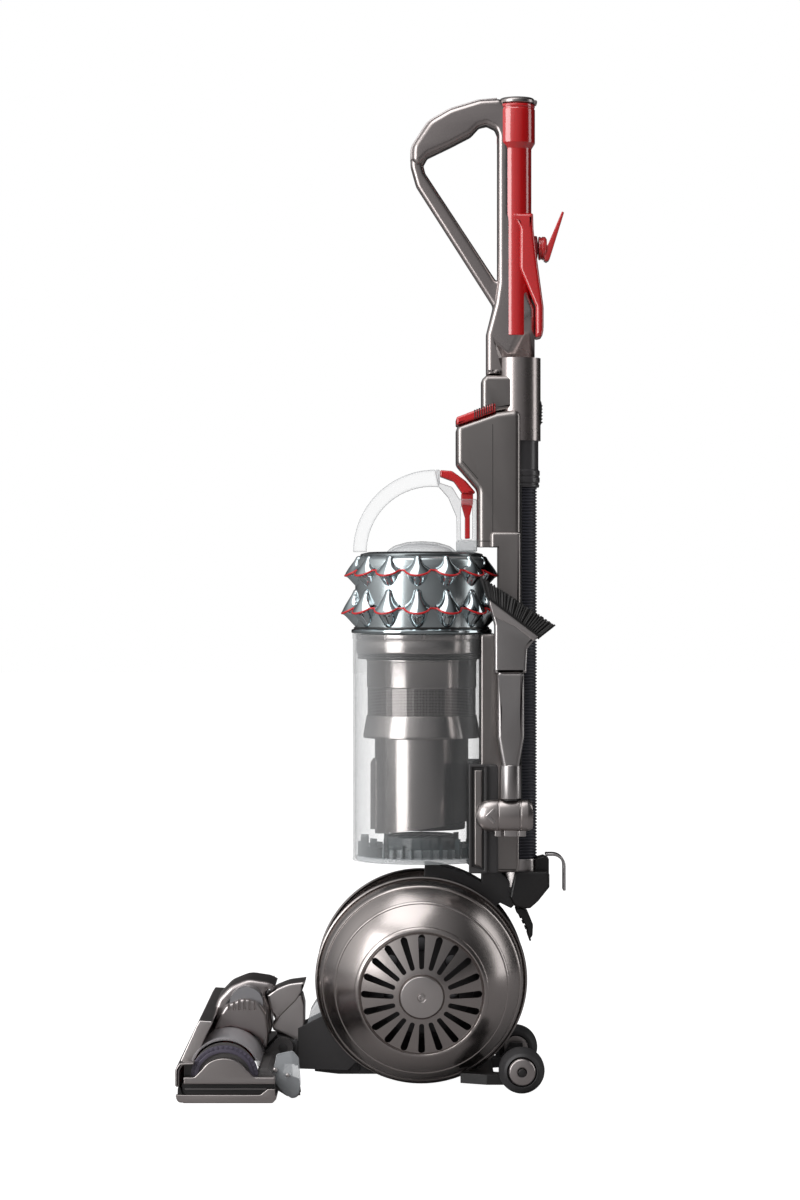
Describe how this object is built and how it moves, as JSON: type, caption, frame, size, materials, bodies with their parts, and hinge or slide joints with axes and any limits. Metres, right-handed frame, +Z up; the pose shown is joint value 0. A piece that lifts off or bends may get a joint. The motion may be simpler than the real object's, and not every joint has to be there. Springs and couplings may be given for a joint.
{
  "type": "upright vacuum cleaner",
  "caption": "Bagless upright vacuum cleaner that rolls on a ball, with a lift-off cyclone bin, a D handle, a stowed hose and wand, and a powered brush head.",
  "frame": {"origin": "on the floor under the middle of the machine's overall plan", "axes": "+Z up, -Y towards the cleaner head, +Y towards the user, +X to the machine's side that holds the spare tool"},
  "size_m": [0.34, 0.416, 1.076],
  "materials": {
    "nickel": "metallic satin",
    "nickel_light": "metallic satin",
    "graphite": "fine satin",
    "black_rubber": "matt",
    "clear": "polished polycarbonate",
    "chromed": "bright",
    "pale_silver": "satin metallic",
    "red": "polished",
    "hose_grey": "satin",
    "steel": "turned",
    "motor_metal": "cast",
    "bristle": "matt",
    "filter_paper": "pleated"
  },
  "bodies": {
    "chassis": {"yoke_frame": "graphite", "lower_duct": "nickel"},
    "neck": {"neck_pipe": "graphite"},
    "head": {"head_housing": "nickel", "soleplate": "nickel", "end_cap_right": "nickel", "end_cap_left": "nickel", "bumper": "nickel", "window": "clear", "motor_pod": "nickel", "brush_motor": "motor_metal", "wing_cover": "nickel"},
    "brush": {"brush_bar": "red"},
    "right_roller": {"roller_right": "nickel_light"},
    "left_roller": {"roller_left": "nickel_light"},
    "upright": {"motor_bucket": "graphite", "drive_motor": "motor_metal", "post_filter": "filter_paper", "shell_axles": "steel", "spine": "nickel", "cheek_panels": "nickel_light", "hose_cup": "nickel", "lower_hook": "nickel_light", "cord_gland": "black_rubber", "handle": "nickel_light", "grip_pad": "nickel", "handle_sleeve": "nickel", "switch_bezel": "red", "hose_cuff": "graphite", "hose": "hose_grey", "wand_bracket": "red", "tool_holder": "nickel"},
    "fan": {"impeller": "motor_metal"},
    "right_shell": {"shell_right": "nickel", "hub_right": "nickel_light"},
    "left_shell": {"shell_left": "nickel", "hub_left": "nickel_light"},
    "foot_pedal": {"pedal": "black_rubber"},
    "power_switch": {"power_button": "red"},
    "brush_switch": {"brush_button": "graphite"},
    "catch": {"wand_catch": "graphite"},
    "wand": {"wand": "red"},
    "cap": {"wand_cap": "nickel"},
    "hook": {"upper_hook": "red"},
    "tool": {"tool_body": "nickel_light", "tool_brush": "bristle"},
    "bin": {"bin_wall": "clear", "bin_collar": "nickel", "shroud": "nickel", "inner_cylinder": "nickel_light", "cyclone_body": "pale_silver", "upper_cyclones": "chromed", "lower_cyclones": "chromed", "cyclone_seals": "red", "carry_handle": "clear"},
    "flap": {"base_flap": "clear"},
    "trigger": {"bin_trigger": "red"},
    "stand": {"stand": "black_rubber"},
    "right_wheel": {"wheel_right": "nickel"},
    "left_wheel": {"wheel_left": "nickel"}
  },
  "joints": [
    {"name": "neck_roll", "type": "hinge", "parent": "chassis", "child": "neck", "pos_m": [0, -0.07, 0.04], "axis": [0, 1, 0], "range_deg": [-20, 20]},
    {"name": "head_pitch", "type": "hinge", "parent": "neck", "child": "head", "pos_m": [0, -0.1, 0.04], "axis": [1, 0, 0], "range_deg": [-10, 8]},
    {"name": "brush_spin", "type": "hinge", "parent": "head", "child": "brush", "pos_m": [0, -0.157, 0.025], "axis": [1, 0, 0], "continuous": true},
    {"name": "right_roller_spin", "type": "hinge", "parent": "head", "child": "right_roller", "pos_m": [0.123, -0.086, 0.007], "axis": [1, 0, 0], "continuous": true},
    {"name": "left_roller_spin", "type": "hinge", "parent": "head", "child": "left_roller", "pos_m": [-0.123, -0.086, 0.007], "axis": [1, 0, 0], "continuous": true},
    {"name": "recline", "type": "hinge", "parent": "chassis", "child": "upright", "pos_m": [0, 0.05, 0.11865], "axis": [-1, 0, 0], "range_deg": [0, 50]},
    {"name": "stand_fold", "type": "hinge", "parent": "chassis", "child": "stand", "pos_m": [0, 0.05, 0.11865], "axis": [1, 0, 0], "range_deg": [0, 12]},
    {"name": "right_wheel_spin", "type": "hinge", "parent": "stand", "child": "right_wheel", "pos_m": [0.094, 0.1567, 0.0245], "axis": [1, 0, 0], "continuous": true},
    {"name": "left_wheel_spin", "type": "hinge", "parent": "stand", "child": "left_wheel", "pos_m": [-0.094, 0.1567, 0.0245], "axis": [1, 0, 0], "continuous": true},
    {"name": "right_shell_spin", "type": "hinge", "parent": "upright", "child": "right_shell", "pos_m": [0, 0.05, 0.11865], "axis": [0.9925, 0, -0.1219], "continuous": true},
    {"name": "left_shell_spin", "type": "hinge", "parent": "upright", "child": "left_shell", "pos_m": [0, 0.05, 0.11865], "axis": [-0.9925, 0, -0.1219], "continuous": true},
    {"name": "fan_spin", "type": "hinge", "parent": "upright", "child": "fan", "pos_m": [0, 0.05, 0.11865], "axis": [1, 0, 0], "continuous": true},
    {"name": "pedal_press", "type": "hinge", "parent": "upright", "child": "foot_pedal", "pos_m": [0, 0.15567, 0.18728], "axis": [-1, 0, 0], "range_deg": [0, 6], "stiffness_Nm_per_rad": 1.5, "springref_deg": -2.86},
    {"name": "power_press", "type": "slide", "parent": "upright", "child": "power_switch", "axis": [0, 0.3289, -0.9444], "range_m": [0, 0.0025], "stiffness_N_per_m": 800, "springref_m": -0.001},
    {"name": "brush_press", "type": "slide", "parent": "upright", "child": "brush_switch", "axis": [0, 0.3289, -0.9444], "range_m": [0, 0.0025], "stiffness_N_per_m": 800, "springref_m": -0.001},
    {"name": "catch_press", "type": "slide", "parent": "upright", "child": "catch", "axis": [0, -1, 0], "range_m": [0, 0.002], "stiffness_N_per_m": 800, "springref_m": -0.001},
    {"name": "wand_lift", "type": "slide", "parent": "upright", "child": "wand", "axis": [0, 0, 1], "range_m": [0, 0.18]},
    {"name": "cap_lift", "type": "hinge", "parent": "wand", "child": "cap", "pos_m": [0, 0.1747, 1.0683], "axis": [-1, 0, 0], "range_deg": [0, 100]},
    {"name": "hook_turn", "type": "hinge", "parent": "upright", "child": "hook", "pos_m": [0, 0.18, 0.911], "axis": [0, 1, 0], "range_deg": [0, 180]},
    {"name": "tool_lift", "type": "slide", "parent": "upright", "child": "tool", "axis": [0, 0, 1], "range_m": [0, 0.1]},
    {"name": "bin_lift", "type": "slide", "parent": "upright", "child": "bin", "axis": [0, -0.8, 0.6], "range_m": [0, 0.25]},
    {"name": "flap_drop", "type": "hinge", "parent": "bin", "child": "flap", "pos_m": [0, 0.1235, 0.2436], "axis": [1, 0, 0], "range_deg": [0, 80]},
    {"name": "trigger_press", "type": "slide", "parent": "bin", "child": "trigger", "axis": [0, 0, -1], "range_m": [0, 0.004], "stiffness_N_per_m": 900, "springref_m": -0.001}
  ],
  "couplings": [
    {"joint": "stand_fold", "follows": "recline", "ratio": 0.24},
    {"joint": "flap_drop", "follows": "bin_lift", "rad_per_m": 5.2}
  ]
}
